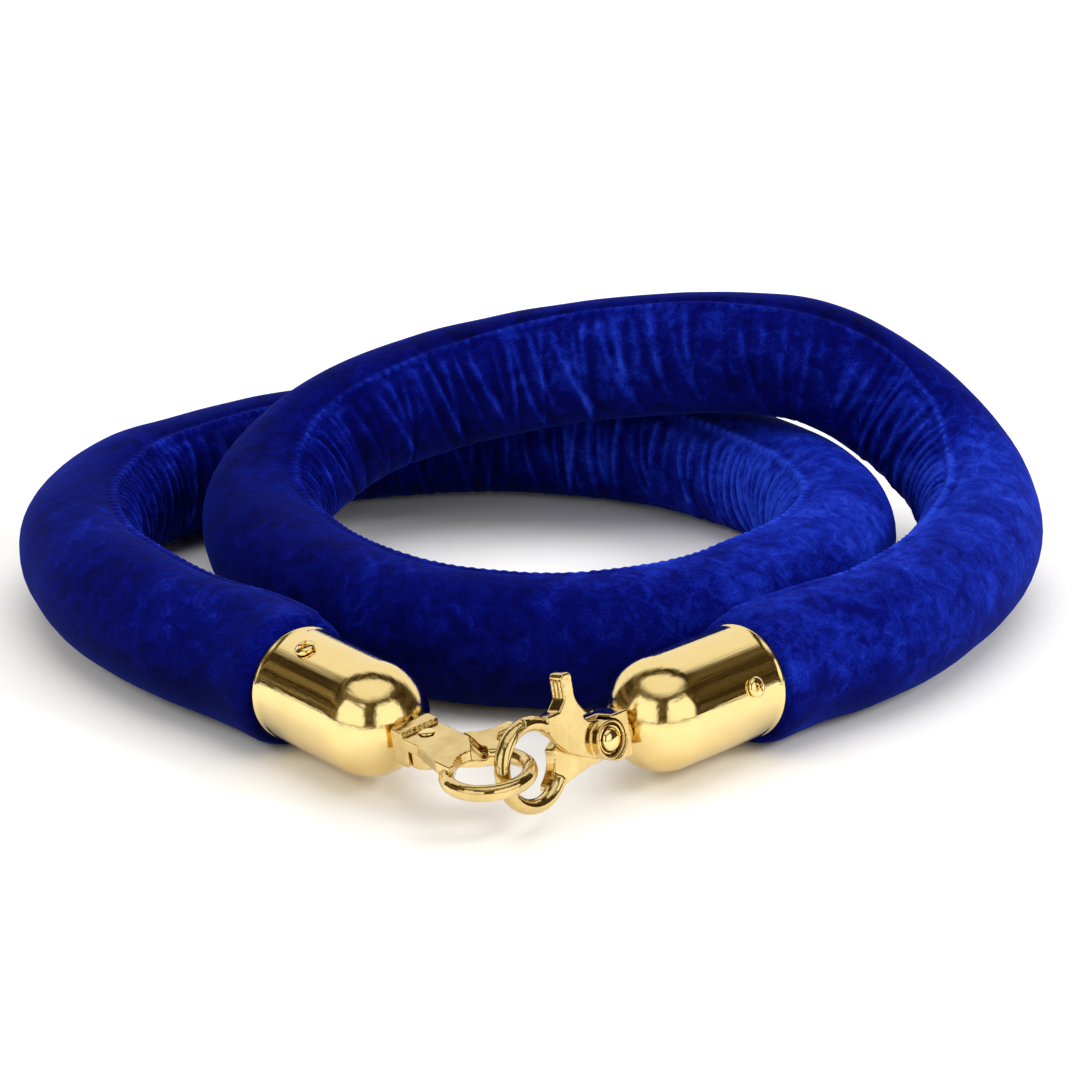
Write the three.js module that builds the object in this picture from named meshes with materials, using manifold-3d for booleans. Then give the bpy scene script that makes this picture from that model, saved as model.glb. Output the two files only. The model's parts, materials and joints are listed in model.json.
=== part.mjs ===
// Velvet barrier rope: a foam-cored velvet rope, coiled twice on the floor, with a plated end cap and a
// swivel snap hook on each end. The two hooks are clipped into each other.
// Millimetres, +Z up, the rope lies on Z = 0.

import * as THREE from 'three';
import { mergeVertices } from 'three/addons/utils/BufferGeometryUtils.js';
import Module from 'manifold-3d';

const wasm = await Module();
wasm.setup();

// ---- driving dimensions ----

// Rope
const ROPE_DIAMETER = 38;
const SLEEVE_WALL = 1.4;
const ROPE_SIDES = 12;
const ROPE_STEPS = 62;

// End cap, a drawn shell with a domed end
const CAP_DIAMETER = 32;
const CAP_WALL = 1.2;
const CAP_STRAIGHT = 33;
const CAP_SIDES = 24;

// Wooden plug in the rope's end, and the two screws through the cap
const NECK_DEPTH = 22;
const PLUG_LENGTH = 29;
const SCREW_FROM_RIM = 12;
const SCREW_SHANK_DIAMETER = 3;
const SCREW_HEAD_DIAMETER = 5.8;
const SCREW_HEAD_HEIGHT = 1.7;
const SCREW_LENGTH = 9;

// Swivel between the cap and the hook
const SHANK_DIAMETER = 4.8;
const SHANK_INSIDE = 8;
const WASHER_DIAMETER = 11;
const WASHER_THICKNESS = 1.2;
const NUT_DIAMETER = 8.4;
const NUT_THICKNESS = 2.6;
const NECK_COLLAR_DIAMETER = 9;

// Hook, measured outward from the end of the cap along its axis
const RING_CENTRE = 35;
const RING_RADIUS = 11;
const RING_WIRE = 4.3;
const RING_THICKNESS = 4.6;
const RIVET_CENTRE = 9.2;
const BLOCK_START = 1.7;
const BLOCK_END = 6.2;
const BLOCK_WIDTH = 12.8;
const BLOCK_THICKNESS = 9.8;
const EAR_THICKNESS = 3.5;
const HUB_DIAMETER = 10.8;
const HUB_THICKNESS = 4.7;
const POCKET_DIAMETER = 9.2;
const POCKET_DEPTH = 2.9;
const LEVER_FROM_RIVET = 10.6;
const LEVER_LENGTH = 21;
const LEVER_WIDTH = 3.8;
const NOSE_ANGLE = 62;
const NOSE_LIP = 2.4;
const GATE_SWING = 6;

// Gate spring and rivet
const SPRING_WIRE = 0.7;
const SPRING_TURNS = 2.5;
const RIVET_DIAMETER = 3.2;
const RIVET_HEAD_DIAMETER = 6.4;
const RIVET_HEAD_HEIGHT = 1.3;
const RIVET_TAIL_HEIGHT = 0.5;

// Clearances
const GAP = 0.3;
const SWIVEL_GAP = 0.4;

// How each end is turned: about the cap's axis, in degrees
const LEFT_HOOK_ROLL = 7;
const RIGHT_HOOK_ROLL = 102;
const LEFT_SCREW_ROLL = 113;
const RIGHT_SCREW_ROLL = 20;

// The rope's centreline as it lies, from the left cap's rim round twice to the right cap's rim.
// The second turn climbs over the first at the back and comes down on the right.
const ROUTE = [
  [-63.1, -80.3, 19], [-77, -63, 19], [-95.3, -46.6, 19], [-112, -25, 19], [-125.5, 0, 19],
  [-134, 41, 19], [-123, 81, 19], [-103, 101.5, 19], [-76, 122.5, 19], [-45, 135, 19],
  [-13, 139.5, 19], [19, 135, 19], [47, 121, 19], [70, 100, 19], [86, 73, 19],
  [91, 42, 19], [83, 10, 19], [64, -17, 19], [42.5, -37, 19], [11, -48.5, 19],
  [-23, -42.5, 19], [-47, -24, 19], [-65, 1, 19.1], [-77, 29, 19.6], [-80, 55, 22.5],
  [-73, 76, 28], [-55, 93.3, 37], [-30, 105.8, 43.6], [-1, 111.5, 49], [31, 108.5, 54.2],
  [63, 101, 58], [90, 95.5, 55.6], [113.5, 89, 43.6], [129.5, 74, 30.5], [135.5, 48, 21],
  [129, 16, 19.2], [115, -16.5, 19.1], [96.5, -43, 19], [73.6, -62.6, 19], [58.5, -78.6, 19],
].map(([x, y, z]) => new THREE.Vector3(x, y, z));

// ---- sizes that follow ----

const ROPE_RADIUS = ROPE_DIAMETER / 2;
const CAP_RADIUS = CAP_DIAMETER / 2;
const CAP_BORE = CAP_RADIUS - CAP_WALL;
const CAP_LENGTH = CAP_STRAIGHT + CAP_RADIUS;
const NECK_RADIUS = CAP_BORE - GAP;
const NECK_BORE = NECK_RADIUS - SLEEVE_WALL;
const CORE_RADIUS = ROPE_RADIUS - SLEEVE_WALL - GAP;
const PLUG_RADIUS = NECK_BORE - GAP;
const SHANK_RADIUS = SHANK_DIAMETER / 2;
const CAP_HOLE = SHANK_RADIUS + SWIVEL_GAP;
const RIVET_HOLE = RIVET_DIAMETER / 2 + GAP;
const RING_OUTER = RING_RADIUS + RING_WIRE / 2;
const RING_INNER = RING_RADIUS - RING_WIRE / 2;
const NOSE_REACH = Math.hypot(
  RING_CENTRE - RIVET_CENTRE + RING_RADIUS * Math.cos(THREE.MathUtils.degToRad(NOSE_ANGLE)),
  RING_RADIUS * Math.sin(THREE.MathUtils.degToRad(NOSE_ANGLE)),
);
const LIP_RADIUS = RING_RADIUS + RING_WIRE * 0.15;
const EAR_BOTTOM = GAP / 2;
const EAR_TOP = EAR_BOTTOM + EAR_THICKNESS;
const HUB_TOP = -GAP / 2;
const HUB_BOTTOM = HUB_TOP - HUB_THICKNESS;
const POCKET_FLOOR = HUB_BOTTOM + POCKET_DEPTH;
const BOSS_DIAMETER = RIVET_HEAD_DIAMETER - 0.8;
const SPRING_RADIUS = (POCKET_DIAMETER + BOSS_DIAMETER) / 4;

// ---- materials ----

const finish = (color, roughness, metalness) => new THREE.MeshStandardMaterial({ color, roughness, metalness });
const velvet = () => finish(0x0b1d9c, 0.95, 0);
const foam = () => finish(0xd9d2bf, 0.9, 0);
const wood = () => finish(0xb98a55, 0.7, 0);
const goldPlate = () => finish(0xe8c766, 0.15, 1);
const springSteel = () => finish(0xcdb878, 0.3, 1);

// ---- solids ----

// A closed geometry as a manifold solid, its faces turned outward and its pole slivers dropped.
function solid(geometry) {
  const bare = geometry.clone();
  bare.deleteAttribute('normal');
  bare.deleteAttribute('uv');
  const merged = mergeVertices(bare);
  const position = merged.attributes.position.array;
  const index = merged.index.array;
  const kept = [];
  const corner = (i) => new THREE.Vector3().fromArray(position, 3 * i);
  let volume = 0;
  for (let i = 0; i < index.length; i += 3) {
    const [a, b, c] = [index[i], index[i + 1], index[i + 2]];
    if (a === b || b === c || c === a) continue;
    kept.push(a, b, c);
    volume += corner(a).dot(corner(b).cross(corner(c)));
  }
  if (volume < 0) kept.reverse();
  return new wasm.Manifold(new wasm.Mesh({
    numProp: 3,
    vertProperties: new Float32Array(position),
    triVerts: new Uint32Array(kept),
  }));
}

// A profile of [along, radius] points turned about the X axis.
function turned(profile, sides) {
  const points = profile.map(([along, radius]) => new THREE.Vector2(radius, along));
  return solid(new THREE.LatheGeometry(points, sides).rotateZ(-Math.PI / 2));
}

// A round bar along X, from start to end.
function bar(radius, start, end, sides) {
  return turned([[start, 0], [start, radius], [end, radius], [end, 0]], sides);
}

// A round bar along Z at x on the hook's centre line.
function post(radius, bottom, top, sides, x) {
  const geometry = new THREE.CylinderGeometry(radius, radius, top - bottom, sides);
  return solid(geometry.rotateX(Math.PI / 2).translate(x, 0, (bottom + top) / 2));
}

// A flat outline in the hook's plane, given a thickness from bottom to top.
function plate(shape, bottom, top) {
  const geometry = new THREE.ExtrudeGeometry(shape, { depth: top - bottom, bevelEnabled: false, curveSegments: 12 });
  return solid(geometry.translate(0, 0, bottom));
}

// An outline of straight runs through [x, y] points.
function outline(points) {
  return new THREE.Shape(points.map(([x, y]) => new THREE.Vector2(x, y)));
}

function mesh(name, body, material, parent) {
  const { vertProperties, triVerts } = body.getMesh();
  const geometry = new THREE.BufferGeometry();
  geometry.setAttribute('position', new THREE.BufferAttribute(new Float32Array(vertProperties), 3));
  geometry.setIndex(new THREE.BufferAttribute(new Uint32Array(triVerts), 1));
  geometry.computeVertexNormals();
  const piece = new THREE.Mesh(geometry, material);
  piece.name = name;
  parent.add(piece);
}

// A polygon with `sides` corners on an oval of half-widths u and v.
function section(u, v, sides) {
  const points = [];
  for (let i = 0; i < sides; i += 1) {
    const turn = (2 * Math.PI * i) / sides;
    points.push([u * Math.cos(turn), v * Math.sin(turn)]);
  }
  return outline(points);
}

// ---- rope ----

// Each end of the rope: where its cap's rim stands and which way the cap points.
const ends = [
  { side: 'left', rim: ROUTE[0], before: ROUTE[1], hookRoll: LEFT_HOOK_ROLL, screwRoll: LEFT_SCREW_ROLL },
  { side: 'right', rim: ROUTE.at(-1), before: ROUTE.at(-2), hookRoll: RIGHT_HOOK_ROLL, screwRoll: RIGHT_SCREW_ROLL },
];

function endGroup(end) {
  const group = new THREE.Group();
  group.position.copy(end.rim);
  group.rotation.z = Math.atan2(end.rim.y - end.before.y, end.rim.x - end.before.x);
  group.updateMatrix();
  return group;
}

// A solid drawn at the cap's rim, along X, moved to one end of the rope.
function atEnd(body, end) {
  return body.transform(endGroup(end).matrix.elements);
}

const routeCurve = new THREE.CatmullRomCurve3(ROUTE, false, 'centripetal');

// The rope's route swept at one radius, cut square `back` short of each rim.
function routeTube(radius, back) {
  const geometry = new THREE.ExtrudeGeometry(section(radius, radius, ROPE_SIDES), {
    steps: ROPE_STEPS,
    bevelEnabled: false,
    extrudePath: routeCurve,
  });
  const trim = bar(ROPE_RADIUS + 1, -back, 1, CAP_SIDES);
  return ends.reduce((body, end) => body.subtract(atEnd(trim, end)), solid(geometry));
}

// The holes that the two screws of a cap pass through.
function screwHoles(radius, roll) {
  const hole = new THREE.CylinderGeometry(radius, radius, CAP_DIAMETER + 4, 12);
  hole.translate(SCREW_FROM_RIM, 0, 0).rotateX(THREE.MathUtils.degToRad(roll));
  return solid(hole);
}

// The velvet sleeve: a sewn tube whose ends are necked in and tucked into the caps.
function velvetSleeve() {
  const overlap = 3;
  let body = routeTube(ROPE_RADIUS, GAP);
  let bore = routeTube(ROPE_RADIUS - SLEEVE_WALL, GAP + SLEEVE_WALL);
  for (const end of ends) {
    body = body.add(atEnd(bar(NECK_RADIUS, -overlap, NECK_DEPTH, CAP_SIDES), end));
    bore = bore.add(atEnd(bar(NECK_BORE, -overlap, NECK_DEPTH + 1, CAP_SIDES), end));
    bore = bore.add(atEnd(screwHoles(SCREW_SHANK_DIAMETER / 2 + GAP, end.screwRoll), end));
  }
  return body.subtract(bore);
}

// The foam core that fills the sleeve between the two plugs.
function foamCore() {
  return routeTube(CORE_RADIUS, GAP + SLEEVE_WALL + GAP);
}

// ---- end pieces, drawn along X from the cap's rim ----

// The cap: straight shell, round dome, a hole in the dome for the swivel and two screw holes.
function endCap(screwRoll) {
  const arcSteps = 7;
  const dome = (radius, reach) => {
    const points = [];
    const last = Math.asin(reach / radius);
    for (let i = 0; i <= arcSteps; i += 1) {
      const angle = Math.PI / 2 + (last - Math.PI / 2) * (i / arcSteps);
      points.push([CAP_STRAIGHT + radius * Math.cos(angle), radius * Math.sin(angle)]);
    }
    return points;
  };
  const outside = [[0, CAP_RADIUS], ...dome(CAP_RADIUS, CAP_HOLE)];
  const inside = [[0, CAP_BORE], ...dome(CAP_BORE, CAP_HOLE)];
  const shell = turned([...outside, ...inside.reverse(), outside[0]], CAP_SIDES);
  return shell.subtract(screwHoles(SCREW_SHANK_DIAMETER / 2 + GAP, screwRoll));
}

function endPlug(screwRoll) {
  const body = bar(PLUG_RADIUS, -SLEEVE_WALL, PLUG_LENGTH, CAP_SIDES);
  return body.subtract(screwHoles(SCREW_SHANK_DIAMETER / 2 + GAP, screwRoll));
}

// A pan-head screw with a cross recess, pointing at the cap's axis.
function capScrew(roll) {
  const seat = CAP_RADIUS + GAP;
  const head = SCREW_HEAD_DIAMETER / 2;
  const shank = SCREW_SHANK_DIAMETER / 2;
  const crown = seat + SCREW_HEAD_HEIGHT;
  const points = [[seat - SCREW_LENGTH, 0], [seat - SCREW_LENGTH + shank, shank], [seat, shank], [seat, head],
    [seat + SCREW_HEAD_HEIGHT * 0.45, head], [crown - 0.2, head * 0.6], [crown, head * 0.3], [crown, 0]];
  const slotWidth = 0.8;
  const slotDepth = 0.8;
  const slot = new THREE.BoxGeometry(2 * slotDepth, slotWidth, head * 1.2).translate(crown, 0, 0);
  const body = turned(points, 16).subtract(solid(slot)).subtract(solid(slot.clone().rotateX(Math.PI / 2)));
  const place = new THREE.Matrix4().makeRotationX(THREE.MathUtils.degToRad(roll));
  place.multiply(new THREE.Matrix4().makeTranslation(SCREW_FROM_RIM, 0, 0));
  place.multiply(new THREE.Matrix4().makeRotationZ(Math.PI / 2));
  return body.transform(place.elements);
}

// ---- hook, drawn along X from the end of the cap; +Y is the gate side, +Z the ear side ----

class RingArc extends THREE.Curve {
  constructor(from, to) {
    super();
    this.from = THREE.MathUtils.degToRad(from);
    this.to = THREE.MathUtils.degToRad(to);
  }

  getPoint(t, target = new THREE.Vector3()) {
    const angle = this.from + (this.to - this.from) * t;
    return target.set(RING_CENTRE + RING_RADIUS * Math.cos(angle), RING_RADIUS * Math.sin(angle), 0);
  }
}

// A stretch of the hook's ring between two angles, measured from the hook's tip towards the gate.
function ringStretch(from, to, steps, grow = 0) {
  return solid(new THREE.ExtrudeGeometry(section(RING_THICKNESS / 2 + grow, RING_WIRE / 2 + grow, 12), {
    steps,
    bevelEnabled: false,
    extrudePath: new RingArc(from, to),
  }));
}

// A disc about the rivet, on the gate's side only. The gate's tip and the nose meet on its rim, so the
// tip slides past the nose as the gate swings.
function reach(radius) {
  const disc = post(radius, -RING_THICKNESS, RING_THICKNESS, 72, RIVET_CENTRE);
  const side = new THREE.BoxGeometry(4 * radius, 2 * radius, 4 * RING_THICKNESS).translate(0, radius + 1, 0);
  return disc.intersect(solid(side));
}

// The nose's lip, which overhangs the gate's tip on the outside and stops it closing too far.
function noseLip(grow) {
  return ringStretch(20, 85, 8, grow)
    .subtract(reach(NOSE_REACH - NOSE_LIP + GAP - grow))
    .subtract(post(LIP_RADIUS - grow, -RING_THICKNESS, RING_THICKNESS, 48, RING_CENTRE));
}

// The flat ear of the body, from the block to the ring's hole.
function earOutline(grow) {
  const half = BLOCK_WIDTH / 2 + grow;
  const shoulder = RING_CENTRE - RING_INNER - 4;
  const shape = new THREE.Shape();
  shape.moveTo(BLOCK_END - 1, -half);
  shape.lineTo(RIVET_CENTRE + 4, -half);
  shape.lineTo(RING_CENTRE - RING_OUTER * 0.8, -RING_OUTER * 0.68 - grow);
  shape.lineTo(RING_CENTRE - RING_INNER + 4, -RING_INNER);
  shape.lineTo(RING_CENTRE - RING_INNER + 2, 0);
  shape.lineTo(shoulder + 1 + grow, BLOCK_WIDTH * 0.3 + grow);
  shape.lineTo(shoulder - 3, half);
  shape.lineTo(BLOCK_END - 1, half);
  return shape;
}

// The hook's body: swivel shank, collar, block, ear, ring and nose, cast in one.
function hookBody() {
  const block = new THREE.BoxGeometry(BLOCK_END - BLOCK_START, BLOCK_WIDTH, BLOCK_THICKNESS);
  block.translate((BLOCK_START + BLOCK_END) / 2, 0, 0);
  const cheek = new THREE.BoxGeometry(RIVET_CENTRE - BLOCK_END, BLOCK_WIDTH, HUB_THICKNESS);
  cheek.translate((RIVET_CENTRE + BLOCK_END) / 2 - 1, 0, (HUB_TOP + HUB_BOTTOM) / 2);
  const ringHole = post(RING_INNER, -RING_THICKNESS, RING_THICKNESS, 28, RING_CENTRE);
  const hubRoom = post(HUB_DIAMETER / 2 + GAP, HUB_BOTTOM - 1, EAR_BOTTOM, 24, RIVET_CENTRE);
  const ring = ringStretch(-148, 85, 20).subtract(reach(NOSE_REACH + GAP)).add(noseLip(0));
  return bar(SHANK_RADIUS, -CAP_WALL - SHANK_INSIDE, BLOCK_START + 1, 16)
    .add(bar(NECK_COLLAR_DIAMETER / 2, SWIVEL_GAP, BLOCK_START + 1, 20))
    .add(solid(block))
    .add(solid(cheek))
    .add(plate(earOutline(0), EAR_BOTTOM, EAR_TOP))
    .subtract(ringHole)
    .add(ring)
    .subtract(hubRoom)
    .subtract(post(RIVET_HOLE, HUB_BOTTOM, EAR_TOP + 1, 16, RIVET_CENTRE));
}

// The thumb lever: a tab that stands out from the gate, grooved on the side away from the rivet.
function thumbLever() {
  const left = RIVET_CENTRE + LEVER_FROM_RIVET - LEVER_WIDTH / 2;
  const right = left + LEVER_WIDTH;
  const root = RING_RADIUS * 0.75;
  const shape = outline([[left - 4, root], [left - 0.8, root + 4], [left, root + 6], [left, LEVER_LENGTH - 0.8],
    [left + 0.8, LEVER_LENGTH], [right - 0.8, LEVER_LENGTH], [right, LEVER_LENGTH - 0.8], [right, root + 6],
    [right + 3, root + 3], [right + 6, root]].reverse());
  let body = plate(shape, -RING_THICKNESS / 2, RING_THICKNESS / 2);
  const grooves = 3;
  const pitch = 1.4;
  for (let i = 0; i < grooves; i += 1) {
    const groove = new THREE.CylinderGeometry(0.35, 0.35, 5, 6).translate(right, LEVER_LENGTH - 4.2, 0);
    groove.translate(0, 0, (i - 1) * pitch);
    body = body.subtract(solid(groove));
  }
  return body;
}

// The gate: hub with a spring pocket, web, lever and arc, cast in one, with a lap at its tip.
function hookGate() {
  const rivet = RIVET_CENTRE;
  const hub = post(HUB_DIAMETER / 2, HUB_BOTTOM, HUB_TOP, 24, rivet);
  const pocket = post(POCKET_DIAMETER / 2, HUB_BOTTOM - 1, POCKET_FLOOR, 24, rivet);
  const boss = post(BOSS_DIAMETER / 2, HUB_BOTTOM + 0.4, POCKET_FLOOR + 1, 20, rivet);
  const web = outline([[rivet, HUB_DIAMETER / 2], [rivet + 1.5, -HUB_DIAMETER / 2 + 0.2],
    [rivet + 7, -3.2], [RING_CENTRE - RING_OUTER + 1, 0], [RING_CENTRE - RING_INNER * 0.95, 3.4],
    [RING_CENTRE - RING_INNER * 0.7, RING_INNER * 0.75], [RING_CENTRE - 6, RING_OUTER * 0.88],
    [rivet + LEVER_FROM_RIVET, RING_RADIUS * 1.05], [rivet + 5, HUB_DIAMETER / 2 + 1.2]]);
  const ringHole = post(RING_INNER, -RING_THICKNESS, RING_THICKNESS, 28, RING_CENTRE);
  const shoulder = outline([[rivet + 7.5, 8.3], [RING_CENTRE - RING_OUTER + 2, 6.6],
    [RING_CENTRE - RING_RADIUS * 0.8, 7], [RING_CENTRE - 6, RING_OUTER * 0.88],
    [rivet + LEVER_FROM_RIVET, RING_RADIUS * 1.05]]);
  const arc = ringStretch(20, 142, 12).intersect(reach(NOSE_REACH)).subtract(noseLip(GAP));
  let body = plate(web, -RING_THICKNESS / 2, HUB_TOP)
    .add(plate(shoulder, -RING_THICKNESS / 2, RING_THICKNESS / 2))
    .add(thumbLever())
    .subtract(ringHole)
    .add(arc)
    .add(hub)
    .subtract(pocket)
    .add(boss)
    .subtract(post(RIVET_HOLE, HUB_BOTTOM - 1, 1, 16, rivet));
  // Room for the ear through the whole swing
  const swings = 3;
  const ear = plate(earOutline(GAP), EAR_BOTTOM - GAP, EAR_TOP + 1);
  for (let i = 0; i <= swings; i += 1) {
    const back = THREE.MathUtils.degToRad((GATE_SWING * i) / swings);
    body = body.subtract(ear.transform(turnAbout(rivet, back).elements));
  }
  return body;
}

// A turn about the hook's Z axis at x on its centre line.
function turnAbout(x, angle) {
  const place = new THREE.Matrix4().makeTranslation(x, 0, 0);
  place.multiply(new THREE.Matrix4().makeRotationZ(angle));
  return place.multiply(new THREE.Matrix4().makeTranslation(-x, 0, 0));
}

// The gate spring: a close-wound coil in the hub's pocket, round the boss.
function gateSpring() {
  const lead = (POCKET_DEPTH - SPRING_WIRE - 2 * GAP) / SPRING_TURNS;
  const points = [];
  const perTurn = 12;
  for (let i = 0; i <= SPRING_TURNS * perTurn; i += 1) {
    const angle = (2 * Math.PI * i) / perTurn;
    const z = POCKET_FLOOR - GAP - SPRING_WIRE / 2 - (lead * i) / perTurn;
    points.push(new THREE.Vector3(
      RIVET_CENTRE + SPRING_RADIUS * Math.cos(angle), SPRING_RADIUS * Math.sin(angle), z));
  }
  return solid(new THREE.ExtrudeGeometry(section(SPRING_WIRE / 2, SPRING_WIRE / 2, 6), {
    steps: points.length - 1,
    bevelEnabled: false,
    extrudePath: new THREE.CatmullRomCurve3(points),
  }));
}

// The rivet: domed head over the spring, shank through hub and ear, tail set over the ear.
function gateRivet() {
  const head = RIVET_HEAD_DIAMETER / 2;
  const shank = RIVET_DIAMETER / 2;
  const seat = HUB_BOTTOM - GAP + 0.4;
  const tail = EAR_TOP + GAP;
  const points = [[seat - RIVET_HEAD_HEIGHT, 0], [seat - RIVET_HEAD_HEIGHT, head * 0.4],
    [seat - RIVET_HEAD_HEIGHT * 0.6, head * 0.85], [seat - 0.3, head], [seat, head], [seat, shank],
    [tail, shank], [tail, shank + 0.7], [tail + RIVET_TAIL_HEIGHT, shank + 0.2], [tail + RIVET_TAIL_HEIGHT, 0]];
  const place = new THREE.Matrix4().makeTranslation(RIVET_CENTRE, 0, 0);
  place.multiply(new THREE.Matrix4().makeRotationY(-Math.PI / 2));
  return turned(points, 16).transform(place.elements);
}

// Washer and nut that hold the swivel shank inside the cap.
function swivelWasher() {
  const seat = washerSeat();
  const washer = bar(WASHER_DIAMETER / 2, seat - WASHER_THICKNESS, seat, 20);
  return washer.subtract(bar(CAP_HOLE, seat - WASHER_THICKNESS - 1, seat + 1, 16));
}

function swivelNut() {
  const seat = washerSeat() - WASHER_THICKNESS - GAP;
  const nut = bar(NUT_DIAMETER / 2, seat - NUT_THICKNESS, seat, 6);
  return nut.subtract(bar(SHANK_RADIUS + GAP, seat - NUT_THICKNESS - 1, seat + 1, 16));
}

// The washer's face, where its edge meets the inside of the dome.
function washerSeat() {
  const reach = Math.sqrt(CAP_BORE ** 2 - (WASHER_DIAMETER / 2) ** 2);
  return reach - CAP_RADIUS - GAP;
}

// ---- assembly ----

const rope = new THREE.Group();
mesh('velvet_sleeve', velvetSleeve(), velvet(), rope);
mesh('foam_core', foamCore(), foam(), rope);

for (const end of ends) {
  const { side, hookRoll, screwRoll } = end;
  const group = endGroup(end);
  mesh(`${side}_end_cap`, endCap(screwRoll), goldPlate(), group);
  mesh(`${side}_end_plug`, endPlug(screwRoll), wood(), group);
  mesh(`${side}_cap_screw_1`, capScrew(screwRoll), goldPlate(), group);
  mesh(`${side}_cap_screw_2`, capScrew(screwRoll + 180), goldPlate(), group);
  const hook = new THREE.Group();
  hook.position.x = CAP_LENGTH;
  hook.rotation.x = THREE.MathUtils.degToRad(hookRoll);
  mesh(`${side}_hook_body`, hookBody(), goldPlate(), hook);
  mesh(`${side}_hook_gate`, hookGate(), goldPlate(), hook);
  mesh(`${side}_gate_spring`, gateSpring(), springSteel(), hook);
  mesh(`${side}_gate_rivet`, gateRivet(), goldPlate(), hook);
  mesh(`${side}_swivel_washer`, swivelWasher(), springSteel(), hook);
  mesh(`${side}_swivel_nut`, swivelNut(), springSteel(), hook);
  group.add(hook);
  rope.add(group);
}

export default rope;
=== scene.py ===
# Velvet barrier rope: a foam-filled velvet rope lying in a double coil, with a bright gold cap and a swivel
# snap hook on each end. The two hooks are clipped into each other.
import json
import math
import bmesh
import bpy
import numpy as np
from mathutils import Matrix, Vector


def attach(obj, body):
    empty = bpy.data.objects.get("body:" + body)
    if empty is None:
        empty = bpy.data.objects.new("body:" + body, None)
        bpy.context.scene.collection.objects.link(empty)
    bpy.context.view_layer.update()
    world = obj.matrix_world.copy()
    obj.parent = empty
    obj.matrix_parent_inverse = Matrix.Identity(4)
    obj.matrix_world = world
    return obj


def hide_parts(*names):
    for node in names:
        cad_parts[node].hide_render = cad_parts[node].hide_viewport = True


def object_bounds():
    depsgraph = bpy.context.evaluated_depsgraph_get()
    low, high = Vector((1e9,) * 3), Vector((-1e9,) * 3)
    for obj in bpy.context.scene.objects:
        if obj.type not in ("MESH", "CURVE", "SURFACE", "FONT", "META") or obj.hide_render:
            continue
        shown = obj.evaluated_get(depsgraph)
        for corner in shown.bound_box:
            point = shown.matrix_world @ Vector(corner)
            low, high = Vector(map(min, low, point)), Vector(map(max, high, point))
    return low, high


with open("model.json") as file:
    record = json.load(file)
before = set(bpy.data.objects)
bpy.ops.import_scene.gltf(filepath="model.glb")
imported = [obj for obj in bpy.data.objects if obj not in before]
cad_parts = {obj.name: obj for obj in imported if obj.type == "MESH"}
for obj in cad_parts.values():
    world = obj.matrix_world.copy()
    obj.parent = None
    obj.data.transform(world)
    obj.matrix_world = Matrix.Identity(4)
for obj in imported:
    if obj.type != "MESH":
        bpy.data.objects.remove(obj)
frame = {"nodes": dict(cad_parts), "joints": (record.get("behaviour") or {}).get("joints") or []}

cad_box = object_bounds()

# ---- Camera ----
# A long lens a little above the rope, so that both turns of the coil and both hooks are seen.
bpy.ops.object.select_all(action="DESELECT")
bpy.ops.object.camera_add(location=(0.003, -1.2167, 0.46296), rotation=(math.radians(70.5), 0, 0))
camera = bpy.context.object
camera.data.sensor_width = 36
camera.data.lens = 148.07
camera.data.clip_start = 0.05
bpy.context.scene.camera = camera
bpy.context.scene.view_settings.view_transform = "Standard"

# ---- Velvet rope ----
# A tube of royal blue velvet, closed by one hand-sewn seam and filled with soft foam. The velvet is longer
# than it needs to be along its inner side, so it gathers there as far as the seam, most of all in the bends.
# Both ends are necked in and tucked into the caps.
rope_diameter = 0.038
rope_line = [
    (-0.0631, -0.0803, 0.019), (-0.077, -0.063, 0.019), (-0.0953, -0.0466, 0.019), (-0.112, -0.025, 0.019),
    (-0.1255, 0, 0.019), (-0.134, 0.041, 0.019), (-0.123, 0.081, 0.019), (-0.103, 0.1015, 0.019),
    (-0.076, 0.1225, 0.019), (-0.045, 0.135, 0.019), (-0.013, 0.1395, 0.019), (0.019, 0.135, 0.019),
    (0.047, 0.121, 0.019), (0.07, 0.1, 0.019), (0.086, 0.073, 0.019), (0.091, 0.042, 0.019),
    (0.083, 0.01, 0.019), (0.064, -0.017, 0.019), (0.0425, -0.037, 0.019), (0.011, -0.0485, 0.019),
    (-0.023, -0.0425, 0.019), (-0.047, -0.024, 0.019), (-0.065, 0.001, 0.0191), (-0.077, 0.029, 0.0196),
    (-0.08, 0.055, 0.0225), (-0.073, 0.076, 0.028), (-0.055, 0.0933, 0.037), (-0.03, 0.1058, 0.0436),
    (-0.001, 0.1115, 0.049), (0.031, 0.1085, 0.0542), (0.063, 0.101, 0.058), (0.09, 0.0955, 0.0556),
    (0.1135, 0.089, 0.0436), (0.1295, 0.074, 0.0305), (0.1355, 0.048, 0.021), (0.129, 0.016, 0.0192),
    (0.115, -0.0165, 0.0191), (0.0965, -0.043, 0.019), (0.0736, -0.0626, 0.019), (0.0585, -0.0786, 0.019),
]


# The smooth line through the points, closely divided.
def smooth_line(points, steps):
    p = np.array(points)
    p = np.vstack([2 * p[0] - p[1], p, 2 * p[-1] - p[-2]])
    line = []
    for i in range(1, len(p) - 2):
        knots = np.cumsum([0] + [np.linalg.norm(p[k + 1] - p[k]) ** 0.5 for k in range(i - 1, i + 2)])
        for t in np.linspace(knots[1], knots[2], steps, endpoint=False):
            level = [p[k] for k in range(i - 1, i + 3)]
            for reach in (1, 2):
                level = [
                    ((knots[k + reach] - t) * level[k] + (t - knots[k]) * level[k + 1])
                    / (knots[k + reach] - knots[k])
                    for k in range(len(level) - 1)
                ]
            line.append(((knots[2] - t) * level[0] + (t - knots[1]) * level[1]) / (knots[2] - knots[1]))
    line.append(p[-2])
    return np.array(line)


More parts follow.
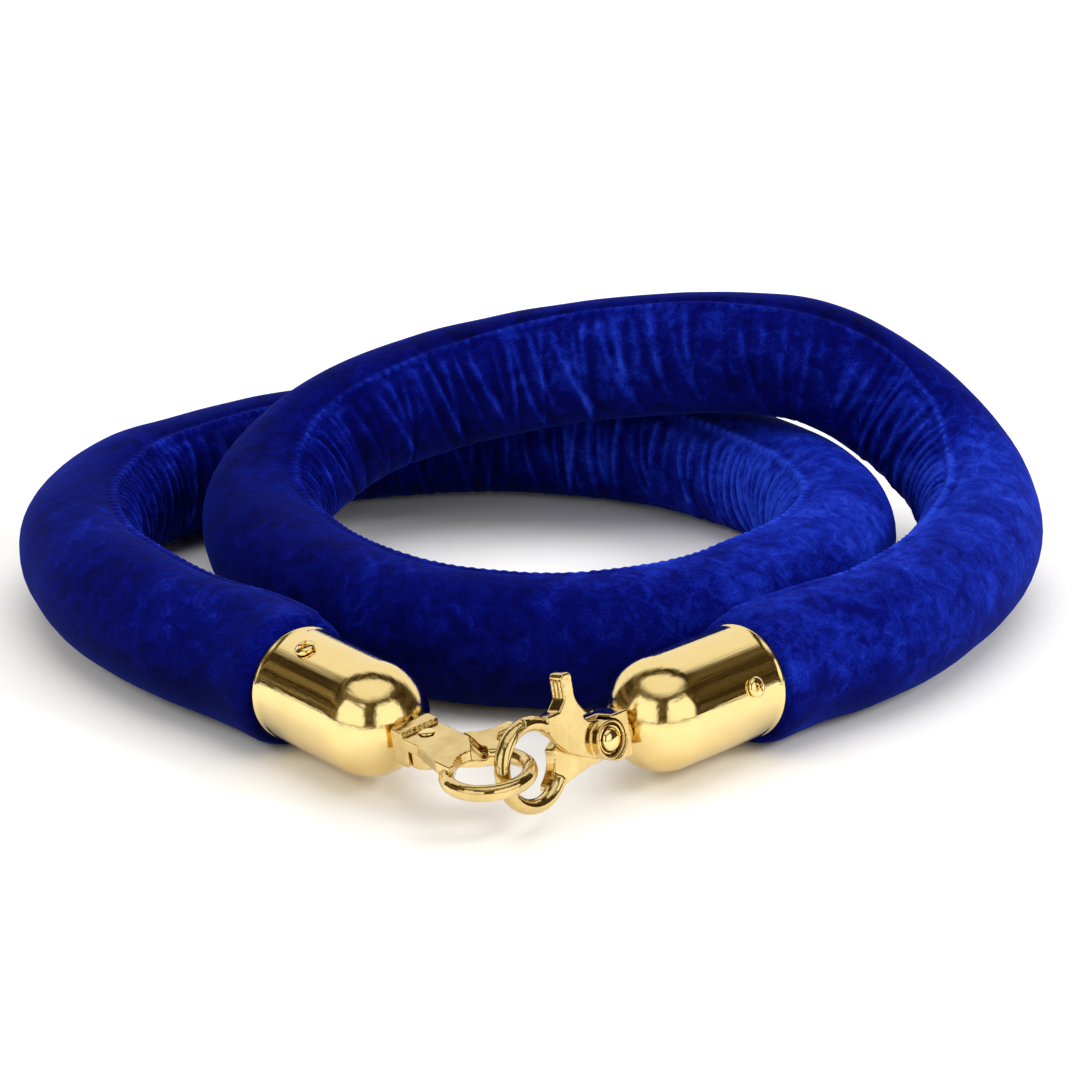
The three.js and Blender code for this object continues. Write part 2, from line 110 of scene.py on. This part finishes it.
close_line = smooth_line(rope_line, 40)
along_line = np.concatenate([[0], np.cumsum(np.linalg.norm(np.diff(close_line, axis=0), axis=1))])
rope_length = along_line[-1]

# Rings of the tube: close together at the two rims, under a millimetre apart between them. The first and
# last few lie inside the caps.
tuck = 0.010
rim_rings = np.arange(-tuck, 0.008, 0.0004)
middle_rings = np.linspace(0.008, rope_length - 0.008, 1400)
rings = np.concatenate([rim_rings, middle_rings, (rope_length - rim_rings)[::-1]])
ring_sides = 64


def on_line(where):
    at = np.stack([np.interp(where, along_line, close_line[:, k]) for k in range(3)], 1)
    start = close_line[0] - close_line[1]
    finish = close_line[-1] - close_line[-2]
    at += np.minimum(where, 0)[:, None] * -start / np.linalg.norm(start)
    return at + np.maximum(where - rope_length, 0)[:, None] * finish / np.linalg.norm(finish)


centre = on_line(rings)
heading = on_line(rings + 0.002) - on_line(rings - 0.002)
heading /= np.linalg.norm(heading, axis=1)[:, None]
upward = np.array([0, 0, 1]) - heading[:, 2:] * heading
upward /= np.linalg.norm(upward, axis=1)[:, None]
inward = np.cross(heading, upward)

# How tightly the rope bends at each ring, as its radius over the bend's radius.
span = 0.018
turn = on_line(rings + span) - 2 * centre + on_line(rings - span)
bend = np.einsum("ij,ij->i", turn, inward) / span ** 2 * rope_diameter / 2
run = rings[:, None]
from_rim = np.minimum(run, rope_length - run)
# How slack the velvet is: fully so inside a bend, less along the straighter parts, and tight at the two caps.
slack = np.clip(0.62 + bend[:, None] / 0.30, 0.62, 1) * np.clip(from_rim / 0.05, 0, 1)

# The seam wanders a little. The tube's sides are narrow near it and wide opposite.
seam = math.radians(29) + 0.10 * np.sin(run * 19) + 0.05 * np.sin(run * 47)
side_step = np.linspace(-np.pi, np.pi, ring_sides, endpoint=False)[None, :]
angle = seam + side_step - 0.6 * np.sin(side_step)
radius = np.full((len(rings), ring_sides), rope_diameter / 2)
dice = np.random.default_rng(7)


# A smooth random field over the tube, about one lump to each `size` metres, between -1 and 1.
def lumps(size, columns):
    rows = int(rings[-1] / size) + 4
    grid = dice.uniform(-1, 1, (rows, columns))
    across = np.arange(ring_sides) * columns / ring_sides
    low = across.astype(int)
    mix = (1 - np.cos(np.pi * (across - low))) / 2
    wide = grid[:, low] * (1 - mix) + grid[:, (low + 1) % columns] * mix
    down = (rings - rings[0]) / size
    low = down.astype(int)
    mix = ((1 - np.cos(np.pi * (down - low))) / 2)[:, None]
    return wide[low] * (1 - mix) + wide[low + 1] * mix


# How far round the tube each vertex is from an angle, in metres, shortest way.
def off(at):
    return ((angle - at + np.pi) % (2 * np.pi) - np.pi) * rope_diameter / 2


inner_face = seam + math.radians(62)
flattened = np.clip(np.abs(off(inner_face)) / 0.019, 0, 1)
radius -= 0.0011 * slack * (1 + np.cos(np.pi * flattened)) / 2
radius += 0.00032 * lumps(0.030, 5) + 0.00016 * lumps(0.012, 9)

# How light the pile looks, as painted light and shade: it is painted lighter where the rope comes forward, a
# painted sheen standing for the pile that leans along the rope, and it is dark with painted shade underneath
# and on the inner face.
coming = -heading[:, 1:2]
pile_tone = 0.15 * np.maximum(coming, 0) + 0.02 * np.minimum(coming, 0) - 0.050
painted_shade_below = np.clip(0.2 - np.cos(angle), 0, 1) * (0.6 - 0.4 * np.sin(angle))
# Painted lighter on top, and painted shade underneath, darkest low on the outer side.
pile_tone = pile_tone + 0.02 * np.cos(angle) - 0.15 * painted_shade_below
pile_tone = pile_tone + 0.020 * slack * np.exp(-(off(inner_face) / 0.018) ** 4)
# Painted shade over the top on the outer side of the seam, where the rope runs to the right.
outside_seam = (np.abs(off(seam)) < 0.045) / (1 + np.exp(off(seam) / 0.0006))
pile_tone -= 0.07 * np.maximum(heading[:, :1], 0) * outside_seam

# Gathers: each is a narrow ridge with a crease beside it, running from the seam round the inside of the bend.
# The ridge gets a painted highlight and the crease painted shade.
ridge_height = 0.0009
crease_depth = 0.0013
gathers = np.zeros(radius.shape)
place = rings[0]
while place < rope_length - 0.010:
    tight = float(np.interp(place, rings, slack[:, 0]))
    place += dice.uniform(0.0032, 0.0082) * (1.7 - 0.95 * tight)
    height = dice.uniform(0.4, 1.0) * tight
    width = dice.uniform(0.0008, 0.0013)
    low, high = dice.uniform(0.10, 0.34), dice.uniform(1.2, 2.3)
    slant, bow = dice.uniform(-0.0018, 0.0018), dice.uniform(-0.0010, 0.0030)
    near = np.abs(rings - place) < 0.014
    spread = off(seam)[near] / (rope_diameter / 2)
    middle = place + slant * spread + bow * spread ** 2
    fade = height / (1 + np.exp(-(spread - low) / 0.06)) / (1 + np.exp((spread - high) / 0.16))
    beside = (run[near] - middle) / width
    ridge = np.exp(-beside ** 2)
    crease = np.exp(-((beside - 2.0) / 1.3) ** 2)
    gathers[near] += fade * (ridge_height * ridge - crease_depth * crease)
    # Painted highlight on the ridge, painted shade in the crease.
    pile_tone[near] += fade * (0.15 * ridge - 0.07 * crease)
radius += ridge_height * np.tanh(gathers / ridge_height) - 0.0002 * slack

# The seam stands up as a low ridge, puckered by its stitches on both sides.
from_seam = off(seam)
stitches = np.sin(2 * np.pi * run / 0.0036 + 2.5 * lumps(0.020, 1))
radius += 0.00075 * np.exp(-(from_seam / 0.0010) ** 2)
for groove in (0.0024, -0.0024):
    radius -= 0.00055 * np.exp(-((from_seam - groove) / 0.0012) ** 2)
# A painted highlight along the seam's ridge, stronger on each stitch.
pile_tone += 0.10 * (1 + 0.5 * stitches) * np.exp(-(from_seam / 0.0011) ** 2) * np.clip(slack, 0.3, 1)
radius += 0.00016 * stitches * slack * np.exp(-((from_seam - 0.0015) / 0.0040) ** 2)

# The ends bulge over the rims and drop to the necks inside the caps.
cap_radius = 0.016
neck_radius = 0.0145
puff = np.clip(from_rim / 0.0065, 0, 1)
bulge = cap_radius + 0.0002 + (radius - cap_radius - 0.0002) * np.sqrt(1 - (1 - puff) ** 2)
radius = np.where(from_rim < 0.0006, neck_radius, bulge)

skin = centre[:, None] + radius[..., None] * (
    np.cos(angle)[..., None] * upward[:, None] + np.sin(angle)[..., None] * inward[:, None]
)
skin[..., 2] = np.maximum(skin[..., 2], 0.0001)
corners = [tuple(v) for v in skin.reshape(-1, 3)] + [tuple(centre[0]), tuple(centre[-1])]
faces = []
for i in range(len(rings) - 1):
    for j in range(ring_sides):
        k = (j + 1) % ring_sides
        near_side, far_side = i * ring_sides, (i + 1) * ring_sides
        faces.append((near_side + j, near_side + k, far_side + k, far_side + j))
first, last = len(corners) - 2, (len(rings) - 1) * ring_sides
faces += [(first, (j + 1) % ring_sides, j) for j in range(ring_sides)]
faces += [(first + 1, last + j, last + (j + 1) % ring_sides) for j in range(ring_sides)]
rope_mesh = bpy.data.meshes.new("velvet_rope")
rope_mesh.from_pydata(corners, [], faces)
check = bmesh.new()
check.from_mesh(rope_mesh)
bmesh.ops.recalc_face_normals(check, faces=check.faces)
check.to_mesh(rope_mesh)
check.free()
rope_mesh.polygons.foreach_set("use_smooth", [True] * len(rope_mesh.polygons))
# The pile's painted light and shade, stored on the mesh for the velvet's colour.
painted_light_layer = rope_mesh.attributes.new("pile_tone", "FLOAT", "POINT")
painted_light_layer.data.foreach_set("value", np.append(pile_tone.ravel(), [0, 0]))
velvet_rope = bpy.data.objects.new("velvet_rope", rope_mesh)
bpy.context.scene.collection.objects.link(velvet_rope)


# A socket of a material's nodes. Sums, differences and products of signals become Math nodes.
class Signal:
    def __init__(self, paint, socket):
        self.paint, self.socket = paint, socket

    def math(self, operation, first, second):
        made = self.paint.node("ShaderNodeMath", {"operation": operation}, {0: first, 1: second})
        return Signal(self.paint, made.outputs[0])

    def __add__(self, other):
        return self.math("ADD", self, other)

    def __radd__(self, other):
        return self.math("ADD", other, self)

    def __sub__(self, other):
        return self.math("SUBTRACT", self, other)

    def __rsub__(self, other):
        return self.math("SUBTRACT", other, self)

    def __mul__(self, other):
        return self.math("MULTIPLY", self, other)

    def __rmul__(self, other):
        return self.math("MULTIPLY", other, self)


# A tree of nodes, made one at a time by node(): its type, its settings, and what its sockets take.
class Nodes:
    def __init__(self, owner):
        owner.use_nodes = True
        self.tree = owner.node_tree
        self.tree.nodes.clear()

    def set(self, node, inputs):
        for key, value in inputs.items():
            if isinstance(value, Signal):
                self.tree.links.new(value.socket, node.inputs[key])
            else:
                node.inputs[key].default_value = value

    def node(self, kind, settings, inputs):
        made = self.tree.nodes.new(kind)
        for key, value in settings.items():
            if key == "stops":
                while len(made.color_ramp.elements) < len(value):
                    made.color_ramp.elements.new(0.5)
                for element, (at, colour) in zip(made.color_ramp.elements, value):
                    element.position, element.color = at, colour
            else:
                setattr(made, key, value)
        self.set(made, inputs)
        return made

    def signal(self, kind, settings, inputs, output=0):
        return Signal(self, self.node(kind, settings, inputs).outputs[output])


class Paint(Nodes):
    def __init__(self, name):
        self.material = bpy.data.materials.new(name)
        super().__init__(self.material)
        self.shader = self.node("ShaderNodeBsdfPrincipled", {}, {})
        self.node("ShaderNodeOutputMaterial", {}, {"Surface": Signal(self, self.shader.outputs[0])})

    def finish(self, **inputs):
        self.set(self.shader, {key.replace("_", " "): value for key, value in inputs.items()})
        return self.material


velvet = Paint("royal_blue_velvet")
place_on = velvet.signal("ShaderNodeTexCoord", {}, {}, "Object")
cloudy = velvet.signal("ShaderNodeTexNoise", {}, {
    "Vector": place_on, "Scale": 45, "Detail": 3, "Roughness": 0.5, "Distortion": 0.5})
crushed = velvet.signal("ShaderNodeTexNoise", {}, {
    "Vector": place_on, "Scale": 190, "Detail": 6, "Roughness": 0.66, "Distortion": 0.7})
pile = velvet.signal("ShaderNodeTexNoise", {}, {
    "Vector": place_on, "Scale": 1600, "Detail": 3, "Roughness": 0.6})
# The pile's painted light and shade is added to the nap before the nap picks the colour.
nap_painted_light = velvet.signal("ShaderNodeAttribute", {"attribute_name": "pile_tone"}, {}, "Fac")
nap = cloudy * 0.30 + crushed * 0.46 + pile * 0.24 + nap_painted_light
colour = velvet.signal("ShaderNodeValToRGB", {"stops": [
    (0.34, (0.0003, 0.0005, 0.036, 1)),
    (0.50, (0.0010, 0.0026, 0.120, 1)),
    (0.62, (0.0045, 0.0150, 0.290, 1)),
    (0.74, (0.0160, 0.0480, 0.520, 1)),
]}, {"Fac": nap})
relief = velvet.signal("ShaderNodeBump", {}, {
    "Strength": 0.6, "Distance": 0.0006, "Height": crushed * 0.7 + pile * 0.3}, "Normal")
velvet.finish(
    Base_Color=colour, Roughness=0.9, Normal=relief, Sheen_Weight=0.28, Sheen_Roughness=0.35,
    Sheen_Tint=(0.03, 0.09, 1.0, 1), Specular_IOR_Level=0.04)
rope_mesh.materials.append(velvet.material)

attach(velvet_rope, "rope")
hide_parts("velvet_sleeve", "foam_core")

# ---- End caps ----
# A drawn brass shell with a domed end, polished and gold plated. Its open rim is rolled, and the hook's
# shank comes out through a hole in the dome.
joints = {joint["name"]: joint for joint in frame["joints"]}
sides = ("left", "right")


# The place of one end of the rope: origin at the middle of the cap's rim, X out along the cap.
def cap_place(side):
    swivel = joints[side + "_hook_swivel"]
    out = Vector(swivel["axis"]).normalized()
    up = Vector((0, 0, 1))
    turned = Matrix((out, up.cross(out), up)).transposed().to_4x4()
    return Matrix.Translation(Vector(swivel["pos_m"]) - out * cap_length) @ turned


# A ring drawn out and resized again and again along X: a solid of revolution. `profile` is a list of
# (along, radius) points.
def turned_piece(name, profile, divisions):
    bpy.ops.object.select_all(action="DESELECT")
    start, first_radius = profile[0]
    bpy.ops.mesh.primitive_circle_add(vertices=divisions, radius=1, rotation=(0, math.pi / 2, 0))
    piece = bpy.context.object
    piece.name = name
    bpy.ops.object.transform_apply(location=True, rotation=True, scale=True)
    bpy.ops.object.mode_set(mode="EDIT")
    bpy.ops.mesh.select_all(action="SELECT")
    bpy.ops.transform.resize(value=(1, first_radius, first_radius), center_override=(0, 0, 0))
    bpy.ops.transform.translate(value=(start, 0, 0))
    at, size = start, first_radius
    for along, wide in profile[1:]:
        bpy.ops.mesh.extrude_edges_move(TRANSFORM_OT_translate={"value": (along - at, 0, 0)})
        bpy.ops.transform.resize(value=(1, wide / size, wide / size), center_override=(along, 0, 0))
        at, size = along, wide
    bpy.ops.object.mode_set(mode="OBJECT")
    return piece


# Merges doubled corners, closes a turned piece's two small end rings, faces everything outward, and
# smooths it.
def seal(piece):
    shape = bmesh.new()
    shape.from_mesh(piece.data)
    bmesh.ops.remove_doubles(shape, verts=shape.verts, dist=0.000002)
    open_edges = [edge for edge in shape.edges if edge.is_boundary]
    if open_edges:
        bmesh.ops.holes_fill(shape, edges=open_edges, sides=0)
    bmesh.ops.recalc_face_normals(shape, faces=shape.faces)
    shape.to_mesh(piece.data)
    shape.free()
    bpy.ops.object.select_all(action="DESELECT")
    piece.select_set(True)
    bpy.context.view_layer.objects.active = piece
    bpy.ops.object.shade_smooth_by_angle(angle=math.radians(32))


cap_length = 0.049
cap_straight = 0.033
cap_wall = 0.0012
shank_hole = 0.0028
lip = 0.0005

cap_outside = [(0.0006, cap_radius - 0.0010), (0.0, cap_radius - 0.0005), (0.0001, cap_radius + 0.0001),
               (0.0006, cap_radius + 0.0003), (0.0012, cap_radius + 0.0002), (0.0016, cap_radius)]
cap_outside += [(along, cap_radius) for along in np.linspace(0.003, cap_straight, 8)]
dome_end = math.asin((shank_hole + lip) / cap_radius)
for step in np.linspace(math.pi / 2, dome_end, 26)[1:]:
    cap_outside.append((cap_straight + cap_radius * math.cos(step), cap_radius * math.sin(step)))
crown = cap_straight + cap_radius * math.cos(dome_end)
cap_outside += [(crown + 0.0001, shank_hole + 0.0003), (crown - 0.0002, shank_hole),
                (crown - cap_wall, shank_hole)]
bore_radius = cap_radius - cap_wall
cap_outside += [(cap_straight + bore_radius * math.cos(step), bore_radius * math.sin(step))
                for step in np.linspace(dome_end, math.pi / 2, 14)[1:]]
cap_outside += [(0.0012, cap_radius - cap_wall), (0.0006, cap_radius - 0.0010)]


# Gold plate over polished brass. `streaks` is how deep the lengthwise polishing lines are, and `thin` is its
# colour where the plate is thin.
def gold_plate(name, across, streaks, thin=(0.87, 0.65, 0.26, 1)):
    paint = Paint(name)
    place_on = paint.signal("ShaderNodeTexCoord", {}, {}, "Object")
    along = paint.signal("ShaderNodeMapping", {"vector_type": "TEXTURE"}, {
        "Vector": place_on, "Rotation": (0, 0, across), "Scale": (24, 1, 1)})
    lines = paint.signal("ShaderNodeTexNoise", {}, {
        "Vector": along, "Scale": 900, "Detail": 4, "Roughness": 0.65})
    waves = paint.signal("ShaderNodeTexNoise", {}, {
        "Vector": along, "Scale": 210, "Detail": 2, "Roughness": 0.5})
    haze = paint.signal("ShaderNodeTexNoise", {}, {
        "Vector": place_on, "Scale": 130, "Detail": 5, "Roughness": 0.6})
    tone = paint.signal("ShaderNodeMix", {"data_type": "RGBA"}, {
        "Factor": haze, "A": thin, "B": (0.95, 0.76, 0.36, 1)}, "Result")
    relief = paint.signal("ShaderNodeBump", {}, {
        "Strength": streaks, "Distance": 0.00014, "Height": lines * 0.3 + waves}, "Normal")
    return paint.finish(Base_Color=tone, Metallic=1.0, Roughness=haze * 0.10 + 0.03, Normal=relief)


for side in sides:
    cap = turned_piece(side + "_cap_shell", cap_outside, 96)
    cap.data.transform(cap_place(side))
    cap.data.materials.append(gold_plate(side + "_cap_gold", cap_place(side).to_euler().z, 1.0))
    seal(cap)
    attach(cap, "rope")
    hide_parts(side + "_end_cap")

# ---- Cap screws ----
# Two small pan-head screws through each cap into the plug behind it, one opposite the other. Each is gold
# plated, with a cross recess.
screw_head = 0.0029
screw_height = 0.0017
screw_profile = [(-0.0072, 0.0002), (-0.0062, 0.0015), (0.0, 0.0015), (0.0001, screw_head - 0.0001),
                 (0.0003, screw_head), (0.0007, screw_head),
                 (0.0010, screw_head * 0.94), (0.0013, screw_head * 0.78),
                 (0.0015, screw_head * 0.58), (0.0016, screw_head * 0.36), (screw_height, 0.0002)]
screw_from_rim = 0.012
for side, roll in (("left", 113), ("right", 20)):
    for number, half_turn in ((1, 0), (2, 180)):
        screw = turned_piece(f"{side}_screw_{number}", screw_profile, 40)
        bpy.ops.object.select_all(action="DESELECT")
        bpy.ops.mesh.primitive_cube_add(size=1, location=(screw_height, 0, 0), scale=(0.0018, 0.0034, 0.0007))
        recess = bpy.context.object
        bpy.ops.object.transform_apply(location=True, rotation=True, scale=True)
        for slot_turn in (0, math.pi / 2):
            recess.data.transform(Matrix.Rotation(slot_turn, 4, "X"))
            cut = screw.modifiers.new("recess", "BOOLEAN")
            cut.operation, cut.object, cut.solver = "DIFFERENCE", recess, "EXACT"
            bpy.context.view_layer.objects.active = screw
            bpy.ops.object.modifier_apply(modifier=cut.name)
        bpy.data.objects.remove(recess)
        around_cap = Matrix.Rotation(math.radians(roll + half_turn), 4, "X")
        outward = around_cap @ Matrix.Rotation(math.pi / 2, 4, "Z")
        driven = Matrix.Rotation(math.radians(31 * number), 4, "X")
        seat = Matrix.Translation((cap_radius + 0.0001, 0, 0)) @ driven
        screw.data.transform(cap_place(side) @ Matrix.Translation((screw_from_rim, 0, 0)) @ outward @ seat)
        screw.data.materials.append(gold_plate(screw.name + "_gold", 0, 0.1))
        seal(screw)
        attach(screw, "rope")
        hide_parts(f"{side}_cap_screw_{number}")

# ---- Hooks ----
# Each hook is two castings: a body with its ring, and a gate with its thumb lever. They are tumbled smooth,
# so every edge is a little round, and then plated in the same bright gold as the caps.
for side in sides:
    for part, body in (("hook_body", "_hook"), ("hook_gate", "_gate")):
        node = f"{side}_{part}"
        rough_shape = frame["nodes"][node].data.copy()
        casting = bpy.data.objects.new(f"{side}_{part.split('_')[1]}_casting", rough_shape)
        bpy.context.scene.collection.objects.link(casting)
        bpy.ops.object.select_all(action="DESELECT")
        casting.select_set(True)
        bpy.context.view_layer.objects.active = casting
        bpy.ops.object.mode_set(mode="EDIT")
        bpy.ops.mesh.select_all(action="SELECT")
        bpy.ops.mesh.remove_doubles(threshold=0.000005)
        bpy.ops.object.mode_set(mode="OBJECT")
        for kind, settings in (
            ("REMESH", {"mode": "VOXEL", "voxel_size": 0.00022, "use_smooth_shade": True}),
            ("SMOOTH", {"factor": 0.5, "iterations": 14}),
        ):
            step = casting.modifiers.new(kind.lower(), kind)
            for key, value in settings.items():
                setattr(step, key, value)
            bpy.ops.object.modifier_apply(modifier=step.name)
        casting.data.materials.clear()
        casting.data.materials.append(gold_plate(node + "_gold", 0, 0.8, thin=(0.50, 0.32, 0.09, 1)))
        seal(casting)
        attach(casting, side + body)
        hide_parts(node)


# The place of a hook: origin at the crown of the cap, X out along it, Z out of the ear's face.
def hook_place(side):
    swivel, gate = joints[side + "_hook_swivel"], joints[side + "_gate_swing"]
    out = Vector(swivel["axis"]).normalized()
    face = -Vector(gate["axis"]).normalized()
    turned = Matrix((out, face.cross(out), face)).transposed().to_4x4()
    return Matrix.Translation(Vector(swivel["pos_m"])) @ turned


# ---- Gate rivets ----
# A steel rivet through hub and ear, its round head over the spring and its tail set flush on the ear.
rivet_from_crown = 0.0092
hub_bottom = -0.00485
ear_top = 0.00365
rivet_profile = [(hub_bottom - 0.0013, 0.0002), (hub_bottom - 0.00125, 0.0010), (hub_bottom - 0.0011, 0.0018),
                 (hub_bottom - 0.0007, 0.0026), (hub_bottom - 0.0002, 0.0031), (hub_bottom + 0.0001, 0.0032),
                 (hub_bottom + 0.0002, 0.0030), (hub_bottom + 0.0002, 0.0016), (ear_top, 0.0016),
                 (ear_top + 0.0003, 0.0022), (ear_top + 0.0005, 0.0021), (ear_top + 0.0007, 0.0017),
                 (ear_top + 0.0008, 0.0002)]
for side in sides:
    rivet = turned_piece(side + "_rivet", rivet_profile, 48)
    across = Matrix.Translation((rivet_from_crown, 0, 0)) @ Matrix.Rotation(-math.pi / 2, 4, "Y")
    rivet.data.transform(hook_place(side) @ across)
    rivet.data.materials.append(gold_plate(side + "_rivet_gold", 0, 0.1))
    seal(rivet)
    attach(rivet, side + "_hook")
    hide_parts(side + "_gate_rivet")

# ---- Gate springs ----
# A small coil of round wire in the hub's pocket, seen as bright rings round the rivet's head.
spring_radius = 0.0037
spring_wire = 0.00038
spring_turns = 2.5
spring_height = 0.0016
steps_per_turn = 24
spring_steps = int(spring_turns * steps_per_turn)
spring_rise = -spring_height / (spring_turns * steps_per_turn)
for side in sides:
    bpy.ops.object.select_all(action="DESELECT")
    bpy.ops.mesh.primitive_circle_add(
        vertices=10, radius=spring_wire, location=(spring_radius, 0, 0), rotation=(math.pi / 2, 0, 0))
    spring = bpy.context.object
    spring.name = side + "_spring_coil"
    bpy.ops.object.transform_apply(location=True, rotation=True, scale=True)
    bpy.ops.object.mode_set(mode="EDIT")
    bpy.ops.mesh.select_all(action="SELECT")
    bpy.ops.mesh.edge_face_add()
    for step in range(spring_steps):
        bpy.ops.mesh.extrude_region_move(TRANSFORM_OT_translate={"value": (0, 0, spring_rise)})
        bpy.ops.transform.rotate(
            value=-2 * math.pi / steps_per_turn, orient_axis="Z", center_override=(0, 0, 0))
    bpy.ops.object.mode_set(mode="OBJECT")
    spring.data.transform(hook_place(side) @ Matrix.Translation((rivet_from_crown, 0, hub_bottom + 0.0022)))
    spring.data.materials.append(gold_plate(side + "_spring_gold", 0, 0.1))
    seal(spring)
    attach(spring, side + "_gate")
    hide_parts(side + "_gate_spring")

# ---- Hidden pieces ----
# A turned softwood plug fills each neck of the rope, and a washer and nut hold each hook's shank in its cap.
grain = Paint("turned_softwood")
place_on = grain.signal("ShaderNodeTexCoord", {}, {}, "Object")
stretched = grain.signal("ShaderNodeMapping", {}, {"Vector": place_on, "Scale": (1, 1, 8)})
figure = grain.signal("ShaderNodeTexNoise", {}, {
    "Vector": stretched, "Scale": 160, "Detail": 5, "Distortion": 1.2})
wood_tone = grain.signal("ShaderNodeMix", {"data_type": "RGBA"}, {
    "Factor": figure, "A": (0.50, 0.30, 0.14, 1), "B": (0.76, 0.56, 0.34, 1)}, "Result")
grain.finish(Base_Color=wood_tone, Roughness=figure * 0.2 + 0.55)
bright = Paint("plated_steel")
place_on = bright.signal("ShaderNodeTexCoord", {}, {}, "Object")
scuff = bright.signal("ShaderNodeTexNoise", {}, {"Vector": place_on, "Scale": 400, "Detail": 4})
steel_tone = bright.signal("ShaderNodeMix", {"data_type": "RGBA"}, {
    "Factor": scuff, "A": (0.66, 0.54, 0.30, 1), "B": (0.78, 0.68, 0.44, 1)}, "Result")
bright.finish(Base_Color=steel_tone, Metallic=1.0, Roughness=scuff * 0.2 + 0.2)
for side in sides:
    for part, finish in (("_end_plug", grain), ("_swivel_washer", bright), ("_swivel_nut", bright)):
        hidden = frame["nodes"][side + part]
        hidden.data.materials.clear()
        hidden.data.materials.append(finish.material)

[tuple(p) for p in on_line(np.linspace(0, rope_length, 260))]

# ---- Floor, light and surroundings ----
# A plain pale floor, three soft lights, and a room that the gold reflects: two windows in front, a pale back
# wall and a patch of ceiling, and dim level shelves between them.
bpy.ops.object.select_all(action="DESELECT")
bpy.ops.mesh.primitive_plane_add(size=9, location=(0, 0, -0.0002))
floor = bpy.context.object
floor.name = "floor"
bpy.ops.object.transform_apply(location=True, rotation=True, scale=True)
paper = Paint("pale_paper")
place_on = paper.signal("ShaderNodeTexCoord", {}, {}, "Object")
cloud = paper.signal("ShaderNodeTexNoise", {}, {"Vector": place_on, "Scale": 3, "Detail": 2})
paper_tone = paper.signal("ShaderNodeMix", {"data_type": "RGBA"}, {
    "Factor": cloud, "A": (0.93, 0.93, 0.93, 1), "B": (0.95, 0.95, 0.95, 1)}, "Result")
paper.finish(Base_Color=paper_tone, Roughness=0.9, Specular_IOR_Level=0.0)
floor.data.materials.append(paper.material)

for name, place, spread_angle, strength in (
    ("from_left", (-0.80, -0.10, 0.62), 22, 0.75),
    ("from_right", (0.90, -0.10, 0.60), 22, 1.45),
    ("overhead", (0.1, 0.10, 1.0), 60, 1.1),
):
    lamp = bpy.data.lights.new(name, "SUN")
    lamp.energy, lamp.angle = strength, math.radians(spread_angle)
    light = bpy.data.objects.new(name, lamp)
    bpy.context.scene.collection.objects.link(light)
    light.rotation_euler = Vector(place).to_track_quat("Z", "Y").to_euler()
    light.visible_glossy = False

world = bpy.data.worlds.new("studio")
bpy.context.scene.world = world
room = Nodes(world)
looking = room.signal("ShaderNodeTexCoord", {}, {}, "Generated")
ways = room.node("ShaderNodeSeparateXYZ", {}, {"Vector": looking})
side_way, depth_way, up_way = (Signal(room, ways.outputs[k]) for k in range(3))


# 0 below `low`, 1 above `high`, with a soft edge between them.
def edge(value, low, high):
    return room.signal("ShaderNodeMapRange", {"interpolation_type": "SMOOTHSTEP"}, {
        "Value": value, "From Min": low, "From Max": high})


# The brighter of two signals.
def brighter(first, second):
    return room.signal("ShaderNodeMath", {"operation": "MAXIMUM"}, {0: first, 1: second})


across = room.signal("ShaderNodeMath", {"operation": "ABSOLUTE"}, {0: side_way})
window_width = edge(across, 0.17, 0.22) * (1 - edge(across, 0.88, 0.96))
window_height = edge(up_way, 0.02, 0.07) * (1 - edge(up_way, 0.62, 0.74))
window = window_width * window_height * (1 - edge(depth_way, -0.34, -0.24))
back_wall = edge(depth_way, 0.42, 0.58)
ceiling = edge(up_way, 0.74, 0.90) * (1 - edge(depth_way, 0.12, 0.26))
underfoot = 1 - edge(up_way, -0.04, 0.0)
pale = brighter(window * 1.3, brighter(back_wall, ceiling + underfoot))
level = room.signal("ShaderNodeCombineXYZ", {}, {"X": side_way * 0.6, "Y": depth_way * 0.6, "Z": up_way * 14})
banded = room.signal("ShaderNodeTexNoise", {}, {
    "Vector": level, "Scale": 2.2, "Detail": 3, "Roughness": 0.6})
shelves = edge(banded, 0.46, 0.66) * (1 - 0.6 * edge(side_way, -0.1, 0.3))
dim = room.signal("ShaderNodeMix", {"data_type": "RGBA"}, {
    "Factor": shelves, "A": (0.035, 0.022, 0.010, 1), "B": (0.42, 0.33, 0.19, 1)}, "Result")
shade = room.signal("ShaderNodeMix", {"data_type": "RGBA", "clamp_factor": False}, {
    "Factor": pale, "A": dim, "B": (1.0, 0.98, 0.94, 1)}, "Result")
surround = room.signal("ShaderNodeBackground", {}, {"Color": shade, "Strength": 1.0})
room.node("ShaderNodeOutputWorld", {}, {"Surface": surround})

low, high = cad_box
